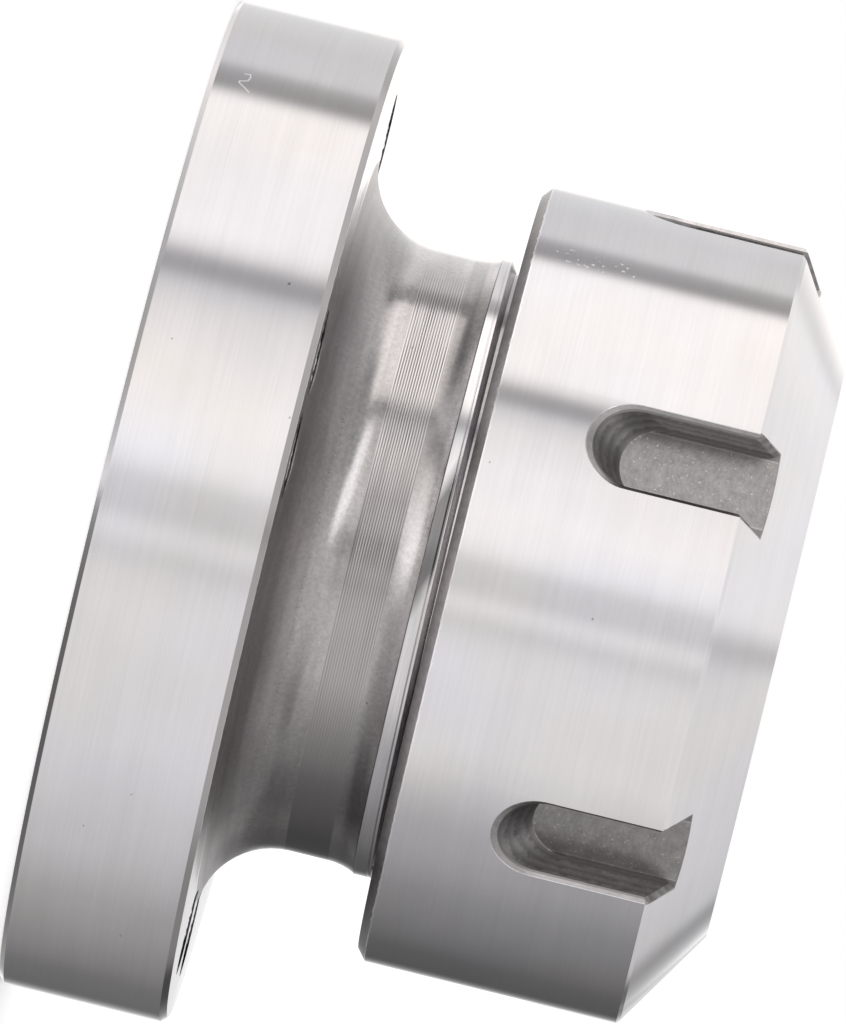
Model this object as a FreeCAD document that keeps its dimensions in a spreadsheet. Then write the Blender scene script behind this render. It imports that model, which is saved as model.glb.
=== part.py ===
import FreeCAD, Part
import math
import os
import Sketcher
from FreeCAD import Placement, Rotation, Vector

# Flange mounted collet chuck, size 40: a turned body, a spring collet in its taper and the
# nut that closes it. Z runs along the spindle axis, from the flange's back face to the nose.

doc = FreeCAD.newDocument("collet_chuck")

# Driving dimensions, millimetres and degrees
DIMENSIONS = {
    # flange, with the register that centres it on a spindle plate
    "flange_radius": 40.0,
    "flange_thickness": 13.5,
    "flange_front_chamfer": 0.5,
    "flange_back_chamfer": 0.4,
    "register_radius": 27.5,
    "register_depth": 3.5,
    "register_chamfer": 0.5,
    # tapped mounting holes, three and four on one pitch circle
    "bolt_circle_inset": 7.0,
    "bolt_hole_radius": 3.0,
    "bolt_mouth_chamfer": 0.45,
    "three_hole_count": 3,
    "four_hole_count": 4,
    "four_hole_start": 45.0,
    # neck and collar
    "neck_waist_depth": 0.55,
    "neck_fillet_share": 0.66,
    "neck_fillet_split_angle": 15.0,
    "neck_flare_length": 2.1,
    "collar_radius": 25.0,
    "collar_step": 0.06,
    "collar_width": 0.75,
    "collar_flank_width": 0.5,
    # nose and nut thread, M50 by 1.5, which stands in the room between their two cylinders
    "thread_major_radius": 25.0,
    "thread_depth": 0.84,
    "thread_root_clearance": 0.06,
    "nose_lead_chamfer": 0.8,
    # taper and bore of the body
    "taper_half_angle": 8.0,
    "taper_mouth_step": 0.5,
    "taper_mouth_chamfer": 0.4,
    "taper_clearance": 0.03,
    "through_bore_step": 0.45,
    "through_bore_land": 2.0,
    "through_bore_chamfer": 0.5,
    "collet_back_room": 1.5,
    # collet
    "collet_bore_radius": 10.0,
    "collet_large_radius": 20.5,
    "collet_taper_length": 35.9,
    "collet_groove_depth": 2.5,
    "collet_groove_width": 3.0,
    "collet_collar_step": 0.5,
    "collet_collar_width": 1.75,
    "collet_front_step": 3.1,
    "collet_edge_break": 0.4,
    "slit_width": 1.0,
    "slit_count": 8,
    "slit_web": 5.0,
    # nut
    "nut_radius": 31.5,
    "nut_height": 26.45,
    "nut_back_gap": 0.55,
    "nut_back_chamfer_width": 0.75,
    "nut_back_chamfer_depth": 0.9,
    "nut_cone_height": 5.0,
    "nut_front_radius": 23.2,
    "nut_corner_break": 0.3,
    "nut_opening_allowance": 0.25,
    "nut_opening_chamfer": 0.6,
    "seat_half_angle": 30.0,
    "seat_clearance": 0.03,
    "nut_collar_clearance": 0.6,
    "nut_taper_clearance": 0.7,
    "nut_entry_chamfer": 0.6,
    "nut_clock_angle": 1.1,
    # extractor ring, bored off centre inside the nut
    "extractor_inset": 0.7,
    "extractor_offset": 1.0,
    "extractor_side_clearance": 0.25,
    "extractor_back_wall": 1.6,
    # spanner slots in the nut
    "slot_count": 6,
    "slot_width": 6.5,
    "slot_depth": 3.1,
    "slot_end_height": 8.55,
    "slot_ramp": 2.6,
    "slot_edge_break": 0.4,
}

dims = doc.addObject("Spreadsheet::Sheet", "dims")
for row, (alias, value) in enumerate(DIMENSIONS.items(), start=1):
    dims.set(f"A{row}", alias)
    dims.set(f"B{row}", str(value))
    dims.setAlias(f"B{row}", alias)

# Heights and radii that follow from the driving dimensions. The collet sits in the taper with
# the taper's clearance, the nut sits on the collet with the seat's clearance, and the collar
# ends one gap behind the nut, so the whole body is as long as the collet asks for.
FOLLOWING = {
    "taper_slope": "tan(dims.taper_half_angle * 1 deg)",
    "seat_slope": "tan(dims.seat_half_angle * 1 deg)",
    "taper_gap": "dims.taper_clearance / cos(dims.taper_half_angle * 1 deg)",
    "seat_gap": "dims.seat_clearance / cos(dims.seat_half_angle * 1 deg)",
    # radii of the collet, and of the taper and the nut that fit it
    "taper_mouth_radius": "dims.collet_large_radius - dims.taper_mouth_step",
    "collet_groove_radius": "dims.collet_large_radius - dims.collet_groove_depth",
    "collet_collar_radius": "dims.collet_large_radius - dims.collet_collar_step",
    "collet_front_radius": "places.collet_collar_radius - dims.collet_front_step",
    "nut_opening_radius": "places.collet_front_radius + dims.nut_opening_allowance",
    "extractor_radius": "places.collet_collar_radius - dims.extractor_inset",
    # collet, from its own back end
    "groove_front": "dims.collet_taper_length + dims.collet_groove_width",
    "collar_end": "places.groove_front + dims.collet_collar_width",
    "collet_length": "places.collar_end"
                     " + (places.collet_collar_radius - places.collet_front_radius) / places.seat_slope",
    "collet_small_radius": "dims.collet_large_radius - dims.collet_taper_length * places.taper_slope",
    "collet_mouth_height": "dims.collet_taper_length"
                           " - (dims.collet_large_radius - places.taper_mouth_radius + places.taper_gap)"
                           " / places.taper_slope",
    # body
    "taper_end": "dims.register_depth + dims.through_bore_land",
    "collet_back": "places.taper_end + dims.collet_back_room",
    "nose_front": "places.collet_back + places.collet_mouth_height",
    "taper_end_radius": "places.taper_mouth_radius"
                        " - (places.nose_front - places.taper_end) * places.taper_slope",
    "through_bore_radius": "places.taper_end_radius - dims.through_bore_step",
    "nose_root_radius": "dims.thread_major_radius - dims.thread_depth",
    "neck_radius": "dims.collar_radius - dims.neck_waist_depth",
    "flare_radius": "(dims.neck_flare_length ^ 2 + places.flare_rise ^ 2) / (2 * places.flare_rise)",
    "flare_rise": "dims.collar_radius - dims.collar_step - places.neck_radius",
    # nut, from its own back face
    "nut_opening_height": "dims.nut_height - dims.nut_opening_chamfer",
    "nut_on_collet": "places.collet_length - places.nut_opening_height"
                     " + (places.collet_front_radius + places.seat_gap - places.nut_opening_radius)"
                     " / places.seat_slope",
    "nut_back": "places.collet_back + places.nut_on_collet",
    "nut_thread_radius": "dims.thread_major_radius + dims.thread_root_clearance",
    "nut_collar_bore": "places.collet_collar_radius + dims.nut_collar_clearance",
    "nut_taper_bore": "dims.collet_large_radius + dims.nut_taper_clearance",
    "nut_seat_end": "places.nut_opening_height"
                    " - (places.nut_collar_bore - places.nut_opening_radius) / places.seat_slope",
    "extractor_front": "places.groove_front - places.nut_on_collet - dims.extractor_side_clearance",
    "extractor_back": "dims.collet_taper_length - places.nut_on_collet"
                      " + dims.extractor_side_clearance",
    "nut_thread_end": "places.extractor_back - dims.extractor_back_wall",
    # collar of the body, one gap behind the nut
    "collar_front": "places.nut_back - dims.nut_back_gap",
    "collar_crest": "places.collar_front - dims.collar_flank_width",
    "collar_start": "places.collar_crest - dims.collar_width",
    "flare_start": "places.collar_start - dims.neck_flare_length",
    "neck_fillet": "dims.neck_fillet_share * (places.flare_start - dims.flange_thickness)",
    "fillet_split_radius": "places.neck_radius"
                           " + places.neck_fillet * (1 - sin(dims.neck_fillet_split_angle * 1 deg))",
    "fillet_split_height": "dims.flange_thickness"
                           " + places.neck_fillet * (1 - cos(dims.neck_fillet_split_angle * 1 deg))",
    # mounting holes; their cutter comes down past the neck's fillet
    "bolt_circle_radius": "dims.flange_radius - dims.bolt_circle_inset",
    "hole_cut_height": "dims.flange_thickness + places.neck_fillet / 2",
    # spanner slot, from the nut's back face; its section lies outside the nut
    "slot_floor_radius": "dims.nut_radius - dims.slot_depth",
    "slot_outer_radius": "dims.nut_radius + dims.slot_depth / 2",
    "slot_centre_height": "dims.slot_end_height + dims.slot_width / 2",
    "slot_outer_centre": "places.slot_centre_height - dims.slot_ramp / 2",
}

places = doc.addObject("App::VarSet", "places")
for name in FOLLOWING:
    places.addProperty("App::PropertyFloat", name, "Following", name)
for name, expression in FOLLOWING.items():
    places.setExpression(name, expression)
doc.recompute()


def origin_plane(body, role):
    """One of the body's own origin planes or axes, by its role."""
    return next(item for item in body.Origin.OriginFeatures if item.Role == role)


def add_body(label, height=None, clock=None):
    """An empty body, raised to its height on the axis and turned to its clock angle."""
    body = doc.addObject("PartDesign::Body", label)
    body.Label = label
    if height:
        body.setExpression("Placement.Base.z", height)
    if clock:
        body.setExpression("Placement.Rotation.Angle", f"{clock} * 1 deg")
    return body


def add_sketch(body, name, role):
    """A sketch flat on one of the body's origin planes."""
    sketch = body.newObject("Sketcher::SketchObject", name)
    sketch.AttachmentSupport = [(origin_plane(body, role), "")]
    sketch.MapMode = "FlatFace"
    return sketch


def bind(sketch, constraint, expression):
    """Add one dimension to the sketch and tie it to its expression."""
    index = sketch.addConstraint(constraint)
    sketch.setExpression(f"Constraints[{index}]", expression)


def value_of(expression):
    return float(dims.evalExpression(expression))


def arc_between(start, end, radius, side):
    """The short arc from start to end; side is 1 where its centre lies to the left."""
    chord = end - start
    middle = (start + end) * 0.5
    height = math.sqrt(max(radius ** 2 - (chord.Length / 2) ** 2, 0.0))
    left = Vector(-chord.y, chord.x, 0).normalize()
    centre = middle + left * height * side
    first, last = (start, end) if side > 0 else (end, start)
    angles = [math.atan2(point.y - centre.y, point.x - centre.x) for point in (first, last)]
    return Part.ArcOfCircle(Part.Circle(centre, Vector(0, 0, 1), radius), *angles)


def draw_outline(sketch, corners, arcs=None):
    """A closed outline through corners given as pairs of expressions.

    arcs holds, by the number of the corner that it starts from, a radius and a side.
    """
    arcs = arcs or {}
    points = [Vector(value_of(x), value_of(y), 0) for x, y in corners]
    count = len(points)
    for i, start in enumerate(points):
        end = points[(i + 1) % count]
        if i in arcs:
            radius, side = arcs[i]
            sketch.addGeometry(arc_between(start, end, value_of(radius), side))
        else:
            sketch.addGeometry(Part.LineSegment(start, end))
    starts = [2 if i in arcs and arcs[i][1] < 0 else 1 for i in range(count)]
    for i in range(count):
        after = (i + 1) % count
        sketch.addConstraint(Sketcher.Constraint("Coincident", i, 3 - starts[i], after, starts[after]))
    for i, (x, y) in enumerate(corners):
        for direction, expression, axis in (("DistanceX", x, -2), ("DistanceY", y, -1)):
            if expression == "0":
                sketch.addConstraint(Sketcher.Constraint("PointOnObject", i, starts[i], axis))
            else:
                distance = Sketcher.Constraint(direction, -1, 1, i, starts[i], value_of(expression))
                bind(sketch, distance, expression)
    for i, (radius, side) in arcs.items():
        bind(sketch, Sketcher.Constraint("Radius", i, value_of(radius)), radius)


def revolve(body, name, corners, arcs=None):
    """A turned solid: a half section in the XZ plane, once round the body's axis."""
    section = add_sketch(body, f"{name}_section", "XZ_Plane")
    draw_outline(section, corners, arcs)
    turned = body.newObject("PartDesign::Revolution", name)
    turned.Profile = section
    turned.ReferenceAxis = (origin_plane(body, "Z_Axis"), [""])
    turned.Angle = 360
    doc.recompute()
    return turned


def repeat_round(body, name, feature, count):
    """Copies of a cut, evenly round the body's axis; the pattern becomes the body's tip."""
    pattern = body.newObject("PartDesign::PolarPattern", name)
    pattern.Originals = [feature]
    pattern.Axis = (origin_plane(body, "Z_Axis"), [""])
    pattern.Angle = 360
    pattern.setExpression("Occurrences", count)
    body.Tip = pattern
    doc.recompute()
    return pattern


def check_cut(name, before, after):
    """A cut that takes nothing away points the wrong way."""
    if not before - after > 1e-3:
        raise RuntimeError(f"{name} removes nothing: {before} to {after}")


# Chuck body

def turn_chuck_body(body):
    """Flange, neck with its fillet and flare, collar, threaded nose, taper and register."""
    corners = [
        ("dims.register_radius + dims.register_chamfer", "0"),
        ("dims.flange_radius - dims.flange_back_chamfer", "0"),
        ("dims.flange_radius", "dims.flange_back_chamfer"),
        ("dims.flange_radius", "dims.flange_thickness - dims.flange_front_chamfer"),
        ("dims.flange_radius - dims.flange_front_chamfer", "dims.flange_thickness"),
        ("places.neck_radius + places.neck_fillet", "dims.flange_thickness"),
        ("places.fillet_split_radius", "places.fillet_split_height"),
        ("places.neck_radius", "dims.flange_thickness + places.neck_fillet"),
        ("places.neck_radius", "places.flare_start"),
        ("dims.collar_radius - dims.collar_step", "places.collar_start"),
        ("dims.collar_radius", "places.collar_start"),
        ("dims.collar_radius", "places.collar_crest"),
        ("places.nose_root_radius", "places.collar_front"),
        ("places.nose_root_radius", "places.nose_front - dims.nose_lead_chamfer"),
        ("places.nose_root_radius - dims.nose_lead_chamfer", "places.nose_front"),
        ("places.taper_mouth_radius + dims.taper_mouth_chamfer", "places.nose_front"),
        ("places.taper_mouth_radius - dims.taper_mouth_chamfer * places.taper_slope",
         "places.nose_front - dims.taper_mouth_chamfer"),
        ("places.taper_end_radius", "places.taper_end"),
        ("places.through_bore_radius", "places.taper_end"),
        ("places.through_bore_radius", "dims.register_depth + dims.through_bore_chamfer"),
        ("places.through_bore_radius + dims.through_bore_chamfer", "dims.register_depth"),
        ("dims.register_radius", "dims.register_depth"),
        ("dims.register_radius", "dims.register_chamfer"),
    ]
    # the fillet is turned in two passes, so that only the low one meets the holes
    arcs = {
        5: ("places.neck_fillet", -1),
        6: ("places.neck_fillet", -1),
        8: ("places.flare_radius", -1),
    }
    return revolve(body, "chuck_turning", corners, arcs)


def bore_mounting_hole(body, name, start_angle=None):
    """One hole through the flange, countersunk at both faces, cut by turning its half section."""
    section = add_sketch(body, f"{name}_section", "XZ_Plane")
    if start_angle:
        section.AttachmentOffset = Placement(Vector(), Rotation(Vector(0, 1, 0), 1))
        section.setExpression("AttachmentOffset.Rotation.Angle", f"{start_angle} * 1 deg")
    centre = "places.bolt_circle_radius"
    wall = "places.bolt_circle_radius + dims.bolt_hole_radius"
    mouth = "places.bolt_circle_radius + dims.bolt_hole_radius + dims.bolt_mouth_chamfer"
    corners = [
        (centre, "0"),
        (mouth, "0"),
        (wall, "dims.bolt_mouth_chamfer"),
        (wall, "dims.flange_thickness - dims.bolt_mouth_chamfer"),
        (mouth, "dims.flange_thickness"),
        (mouth, "places.hole_cut_height"),
        (centre, "places.hole_cut_height"),
    ]
    draw_outline(section, corners)
    hole = body.newObject("PartDesign::Groove", name)
    hole.Profile = section
    # the half section's last side is the hole's own axis
    hole.ReferenceAxis = (section, [f"Edge{len(corners)}"])
    hole.Angle = 360
    doc.recompute()
    return hole


def build_chuck_body():
    body = add_body("chuck_body")
    turning = turn_chuck_body(body)
    volume = turning.Shape.Volume
    three = bore_mounting_hole(body, "three_hole_bore")
    check_cut("three_hole_bore", volume, three.Shape.Volume)
    pattern = repeat_round(body, "three_hole_pattern", three, "dims.three_hole_count")
    volume = pattern.Shape.Volume
    four = bore_mounting_hole(body, "four_hole_bore", "dims.four_hole_start")
    check_cut("four_hole_bore", volume, four.Shape.Volume)
    repeat_round(body, "four_hole_pattern", four, "dims.four_hole_count")
    return body


# Collet

def turn_collet(body):
    """Long taper, extraction groove, collar and the 30 degree front cone round a plain bore."""
    corners = [
        ("dims.collet_bore_radius + dims.collet_edge_break", "0"),
        ("places.collet_small_radius - dims.collet_edge_break", "0"),
        ("places.collet_small_radius + dims.collet_edge_break * places.taper_slope",
         "dims.collet_edge_break"),
        ("dims.collet_large_radius", "dims.collet_taper_length"),
        ("places.collet_groove_radius", "dims.collet_taper_length"),
        ("places.collet_groove_radius", "places.groove_front"),
        ("places.collet_collar_radius", "places.groove_front"),
        ("places.collet_collar_radius", "places.collar_end"),
        ("places.collet_front_radius", "places.collet_length"),
        ("dims.collet_bore_radius + dims.collet_edge_break", "places.collet_length"),
        ("dims.collet_bore_radius", "places.collet_length - dims.collet_edge_break"),
        ("dims.collet_bore_radius", "dims.collet_edge_break"),
    ]
    return revolve(body, "collet_turning", corners)


def saw_slit(body, name, from_front):
    """One radial saw cut, from an end face to the web that is left at the other end."""
    section = add_sketch(body, f"{name}_section", "XY_Plane")
    if from_front:
        section.AttachmentOffset = Placement(Vector(0, 0, 1), Rotation(Vector(0, 0, 1), 1))
        section.setExpression("AttachmentOffset.Base.z", "places.collet_length")
        section.setExpression("AttachmentOffset.Rotation.Angle", "180 deg / dims.slit_count")
    inner = value_of("dims.collet_bore_radius / 2")
    outer = value_of("dims.collet_large_radius + dims.slit_width")
    half = value_of("dims.slit_width / 2")
    points = [Vector(inner, -half), Vector(outer, -half), Vector(outer, half), Vector(inner, half)]
    for i in range(4):
        section.addGeometry(Part.LineSegment(points[i], points[(i + 1) % 4]))
    for i in range(4):
        section.addConstraint(Sketcher.Constraint("Coincident", i, 2, (i + 1) % 4, 1))
    for side, kind in enumerate(("Horizontal", "Vertical", "Horizontal")):
        section.addConstraint(Sketcher.Constraint(kind, side))
    section.addConstraint(Sketcher.Constraint("Symmetric", 0, 1, 3, 1, -1))
    bind(section, Sketcher.Constraint("DistanceX", -1, 1, 0, 1, inner), "dims.collet_bore_radius / 2")
    bind(section, Sketcher.Constraint("DistanceX", -1, 1, 0, 2, outer),
         "dims.collet_large_radius + dims.slit_width")
    bind(section, Sketcher.Constraint("DistanceY", 0, 1, 3, 1, 2 * half), "dims.slit_width")
    slit = body.newObject("PartDesign::Pocket", name)
    slit.Profile = section
    slit.Type = "Length"
    slit.Reversed = not from_front
    slit.setExpression("Length", "places.collet_length - dims.slit_web")
    doc.recompute()
    return slit


def build_collet():
    body = add_body("collet", "places.collet_back")
    turning = turn_collet(body)
    volume = turning.Shape.Volume
    for name, from_front in (("back_slit", False), ("front_slit", True)):
        slit = saw_slit(body, name, from_front)
        check_cut(name, volume, slit.Shape.Volume)
        pattern = repeat_round(body, f"{name}_pattern", slit, "dims.slit_count")
        volume = pattern.Shape.Volume
    return body


# Clamping nut

def turn_nut(body):
    """Outside with its back chamfer and front cone; inside thread bore, extractor ring and seat."""
    extractor_blank = "places.extractor_radius - 2 * dims.extractor_offset"
    corners = [
        ("places.nut_thread_radius + dims.nut_entry_chamfer", "0"),
        ("dims.nut_radius - dims.nut_back_chamfer_depth", "0"),
        ("dims.nut_radius", "dims.nut_back_chamfer_width"),
        ("dims.nut_radius", "dims.nut_height - dims.nut_cone_height - dims.nut_corner_break"),
        ("dims.nut_radius - dims.nut_corner_break", "dims.nut_height - dims.nut_cone_height"),
        ("dims.nut_front_radius", "dims.nut_height"),
        ("places.nut_opening_radius + dims.nut_opening_chamfer", "dims.nut_height"),
        ("places.nut_opening_radius", "places.nut_opening_height"),
        ("places.nut_collar_bore", "places.nut_seat_end"),
        ("places.nut_collar_bore", "places.extractor_front"),
        (extractor_blank, "places.extractor_front"),
        (extractor_blank, "places.extractor_back"),
        ("places.nut_taper_bore", "places.extractor_back"),
        ("places.nut_taper_bore", "places.nut_thread_end"),
        ("places.nut_thread_radius", "places.nut_thread_end"),
        ("places.nut_thread_radius", "dims.nut_entry_chamfer"),
    ]
    return revolve(body, "nut_turning", corners)


def bore_extractor(body):
    """The extractor ring's bore, off centre so that one side catches the collet's groove."""
    section = add_sketch(body, "extractor_section", "XY_Plane")
    section.AttachmentOffset = Placement(Vector(0, 0, 1), Rotation())
    section.setExpression("AttachmentOffset.Base.z", "places.extractor_front")
    offset = value_of("dims.extractor_offset")
    radius = value_of("places.extractor_radius")
    section.addGeometry(Part.Circle(Vector(offset, 0, 0), Vector(0, 0, 1), radius))
    section.addConstraint(Sketcher.Constraint("PointOnObject", 0, 3, -1))
    bind(section, Sketcher.Constraint("DistanceX", -1, 1, 0, 3, offset), "dims.extractor_offset")
    bind(section, Sketcher.Constraint("Radius", 0, radius), "places.extractor_radius")
    bore = body.newObject("PartDesign::Pocket", "extractor_bore")
    bore.Profile = section
    bore.Type = "Length"
    bore.setExpression("Length", "places.extractor_front - places.extractor_back")
    doc.recompute()
    return bore


def mill_slot(body):
    """One spanner slot: upright sides, a flat floor, and an inner end that the cutter ramped down."""
    section = add_sketch(body, "slot_section", "YZ_Plane")
    section.AttachmentOffset = Placement(Vector(0, 0, 1), Rotation())
    section.setExpression("AttachmentOffset.Base.z", "places.slot_outer_radius")
    half = value_of("dims.slot_width / 2")
    centre = value_of("places.slot_outer_centre")
    top = value_of("dims.nut_height + dims.slot_width")
    section.addGeometry(Part.LineSegment(Vector(-half, top), Vector(-half, centre)))
    section.addGeometry(Part.ArcOfCircle(
        Part.Circle(Vector(0, centre, 0), Vector(0, 0, 1), half), math.pi, 2 * math.pi))
    section.addGeometry(Part.LineSegment(Vector(half, centre), Vector(half, top)))
    section.addGeometry(Part.LineSegment(Vector(half, top), Vector(-half, top)))
    section.addConstraint(Sketcher.Constraint("Tangent", 0, 2, 1, 1))
    section.addConstraint(Sketcher.Constraint("Tangent", 1, 2, 2, 1))
    section.addConstraint(Sketcher.Constraint("Coincident", 2, 2, 3, 1))
    section.addConstraint(Sketcher.Constraint("Coincident", 3, 2, 0, 1))
    section.addConstraint(Sketcher.Constraint("Horizontal", 3))
    section.addConstraint(Sketcher.Constraint("Vertical", 0))
    section.addConstraint(Sketcher.Constraint("PointOnObject", 1, 3, -2))
    bind(section, Sketcher.Constraint("DistanceY", -1, 1, 1, 3, centre), "places.slot_outer_centre")
    bind(section, Sketcher.Constraint("DistanceY", -1, 1, 2, 2, top), "dims.nut_height + dims.slot_width")
    bind(section, Sketcher.Constraint("Radius", 1, half), "dims.slot_width / 2")
    slot = body.newObject("PartDesign::Pocket", "spanner_slot")
    slot.Profile = section
    slot.Type = "Length"
    # the cut slants from the nut's outside towards its axis and its front
    slot.UseCustomVector = True
    slot.Direction = Vector(-1, 0, 1)
    slot.setExpression("Direction.z", "dims.slot_ramp / dims.slot_depth")
    slot.AlongSketchNormal = True
    slot.setExpression("Length", "places.slot_outer_radius - places.slot_floor_radius")
    doc.recompute()
    return slot


def is_turned(face):
    """Whether a face was turned, round the nut's own axis."""
    return isinstance(face.Surface, (Part.Cylinder, Part.Cone))


def is_slot_wall(face):
    """Whether a face is a side or the inner end of a spanner slot, not its floor or an end face."""
    if is_turned(face):
        return False
    low_u, high_u, low_v, high_v = face.ParameterRange
    normal = face.normalAt((low_u + high_u) / 2, (low_v + high_v) / 2)
    centre = face.CenterOfMass
    outward = Vector(centre.x, centre.y, 0)
    if outward.Length < 1:
        return False
    return abs(normal.z) < 0.95 and abs(normal.dot(outward.normalize())) < 0.95


def slot_rim(shape):
    """Names of the edges where the slots' walls meet the nut's turned outside."""
    names = []
    for number, edge in enumerate(shape.Edges, start=1):
        faces = shape.ancestorsOfType(edge, Part.Face)
        if any(map(is_turned, faces)) and any(map(is_slot_wall, faces)):
            names.append(f"Edge{number}")
    return names


def build_nut():
    body = add_body("clamping_nut", "places.nut_back", "dims.nut_clock_angle")
    turning = turn_nut(body)
    volume = turning.Shape.Volume
    bore = bore_extractor(body)
    check_cut("extractor_bore", volume, bore.Shape.Volume)
    slot = mill_slot(body)
    check_cut("spanner_slot", bore.Shape.Volume, slot.Shape.Volume)
    pattern = repeat_round(body, "slot_pattern", slot, "dims.slot_count")
    edge_break = body.newObject("PartDesign::Chamfer", "slot_edge_break")
    edge_break.Base = (pattern, slot_rim(pattern.Shape))
    edge_break.setExpression("Size", "dims.slot_edge_break")
    body.Tip = edge_break
    doc.recompute()
    return body


def main():
    bodies = [build_chuck_body(), build_collet(), build_nut()]
    doc.recompute()
    for item in doc.Objects:
        if "Invalid" in item.State or "Error" in item.State:
            raise RuntimeError(f"{item.Name} failed: {item.State}")
    os.makedirs("parts", exist_ok=True)
    for body in bodies:
        shape = body.Shape
        if shape.isNull() or not shape.isValid() or len(shape.Solids) != 1:
            raise RuntimeError(f"{body.Label} is not one valid solid")
        shape.exportStep(f"parts/{body.Label}.step")
        box = shape.BoundBox
        print(f"{body.Label}: volume {shape.Volume:.1f}, z {box.ZMin:.3f} to {box.ZMax:.3f},"
              f" x {box.XMin:.2f} to {box.XMax:.2f}, faces {len(shape.Faces)}")


main()
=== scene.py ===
import math

import bpy
from mathutils import Euler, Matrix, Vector


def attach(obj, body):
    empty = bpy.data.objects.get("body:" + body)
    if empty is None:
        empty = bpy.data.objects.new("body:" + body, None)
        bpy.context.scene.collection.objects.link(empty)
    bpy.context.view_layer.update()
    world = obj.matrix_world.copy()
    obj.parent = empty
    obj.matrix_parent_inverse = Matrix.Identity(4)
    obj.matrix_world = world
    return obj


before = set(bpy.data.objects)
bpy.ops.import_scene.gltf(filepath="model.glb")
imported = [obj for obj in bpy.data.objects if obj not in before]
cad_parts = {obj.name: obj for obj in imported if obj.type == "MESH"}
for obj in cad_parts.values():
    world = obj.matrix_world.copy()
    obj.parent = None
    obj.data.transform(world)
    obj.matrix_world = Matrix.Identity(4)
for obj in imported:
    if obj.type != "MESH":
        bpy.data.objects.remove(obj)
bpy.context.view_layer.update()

MM = 0.001

# The side that faces the photograph's camera, degrees round the axis; seams lie opposite
FACING = 145.0

# Sizes of the chuck that the added pieces and the finishes follow, in millimetres
PITCH = 1.5
FLANGE_FRONT = 13.5
FLANGE_RADIUS = 40.0
NECK_RADIUS = 24.45
GROOVES_START = 19.35
GROOVES_END = 22.86
GROOVE_PITCH = 0.21
COLLAR_START = 25.0
COLLAR_RADIUS = 25.0
THREAD_START = 26.10
CREST_END = THREAD_START + PITCH * 215 / 360
CREST_WIDTH = 0.19
THREAD_ROOT = 24.16
THREAD_CREST = 25.0
THREAD_SLOPE = math.tan(math.radians(30))
NOSE_FRONT = 39.127
NOSE_LEAD = 0.8
NUT_BACK = 26.796
NUT_RADIUS = 31.5
NUT_THREAD_ROOT = 25.06
NUT_THREAD_CREST = 24.28
NUT_THREAD_START = NUT_BACK + 0.6
NUT_THREAD_END = NUT_BACK + 14.4
SLOT_PITCH = 60.0
SLOT_FIRST = 1.1
SLOT_HALF = 3.25
SLOT_FLOOR = 28.4
SLOT_END = NUT_BACK + 8.55
CONE_START = NUT_BACK + 21.45
CONE_SLOPE = 8.3 / 5.0
HOLE_CIRCLE = 33.0
HOLE_ANGLES = (0, 120, 240, 45, 135, 225, 315)
HOLE_PITCH = 1.0

# A bent fibre on the flange, as degrees from FACING and millimetres along the axis
LINT = ((-57.38, 2.52), (-57.53, 2.95), (-56.88, 3.03), (-56.06, 2.92), (-55.63, 2.28),
        (-55.26, 2.32), (-54.62, 2.79), (-53.87, 3.25))


# Node trees

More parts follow.
